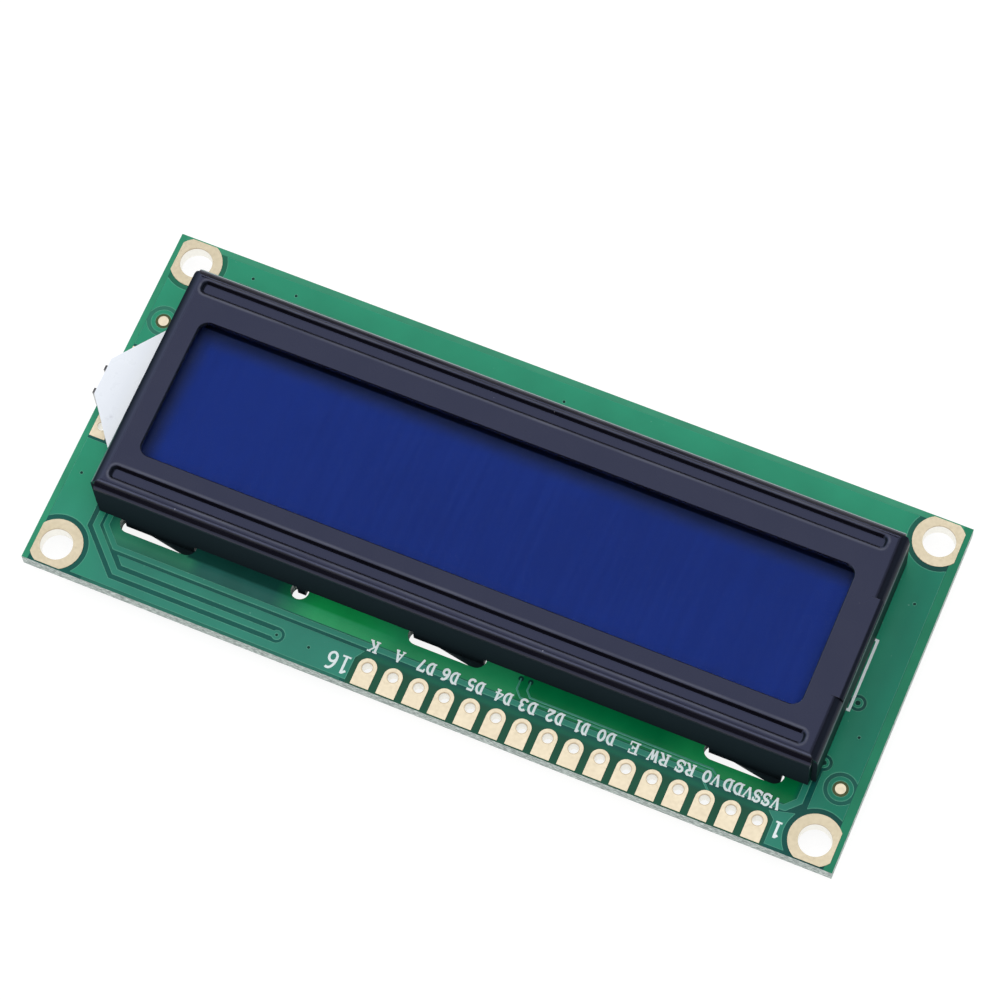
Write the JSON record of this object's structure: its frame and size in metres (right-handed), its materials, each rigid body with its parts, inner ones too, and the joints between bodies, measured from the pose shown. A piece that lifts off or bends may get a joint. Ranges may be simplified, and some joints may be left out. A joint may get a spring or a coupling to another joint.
{
  "type": "character lcd module",
  "caption": "Character display module: green circuit board with plated pin holes, black folded metal bezel, blue display window and an edge lamp in a white tapered tail.",
  "frame": {"origin": "centre of the four mounting holes, on the board's front face", "axes": "+X along the board as the display is read, left to right, +Y towards the row of pin holes, +Z out of the display's front"},
  "size_m": [0.0806, 0.0356, 0.009],
  "materials": {
    "solder_mask_board": "glass fibre laminate under green solder mask",
    "gold_plating": "soft satin gold on copper",
    "bezel_black": "satin black plating on folded steel",
    "front_polariser": "smooth tinted film",
    "cell_glass": "clear, cut edges",
    "cell_seal": "cured epoxy",
    "liquid_crystal": "blue, unlit",
    "rear_polariser": "smooth tinted film",
    "optical_film": "satin white film",
    "clear_acrylic": "polished",
    "white_frame": "moulded satin",
    "white_film": "smooth reflective film",
    "zebra_rubber": "layered silicone",
    "lamp_resin": "moulded resin",
    "tinned_lead": "tinned copper alloy",
    "solder": "bright solder",
    "silicon": "polished die",
    "epoxy_black": "cured dome of epoxy",
    "resistor_body": "glazed thick film",
    "capacitor_body": "bare fired ceramic"
  },
  "bodies": {
    "root": {"circuit_board": "solder_mask_board", "mounting_rings": "gold_plating", "header_pads": "gold_plating", "lamp_pads": "gold_plating", "lead_pads": "gold_plating", "test_pads": "gold_plating", "bezel": "bezel_black", "front_polariser": "front_polariser", "front_glass": "cell_glass", "cell_seal": "cell_seal", "liquid_crystal": "liquid_crystal", "rear_glass": "cell_glass", "rear_polariser": "rear_polariser", "prism_film": "optical_film", "diffuser_film": "optical_film", "light_guide": "clear_acrylic", "reflector_film": "optical_film", "lamp_frame": "white_frame", "zebra_strip_near": "zebra_rubber", "zebra_strip_far": "zebra_rubber", "tail_wrap": "white_film", "backlight_lamp": "lamp_resin", "chip_terminals": "solder", "lamp_lead_far": "tinned_lead", "lamp_lead_near": "tinned_lead", "lead_solder_far": "solder", "lead_solder_near": "solder", "chip_die_left": "silicon", "chip_die_right": "silicon", "epoxy_blob_left": "epoxy_black", "epoxy_blob_right": "epoxy_black", "resistor_1": "resistor_body", "resistor_2": "resistor_body", "resistor_3": "resistor_body", "resistor_4": "resistor_body", "resistor_5": "resistor_body", "resistor_6": "resistor_body", "capacitor_1": "capacitor_body", "capacitor_2": "capacitor_body", "capacitor_3": "capacitor_body"}
  },
  "joints": []
}
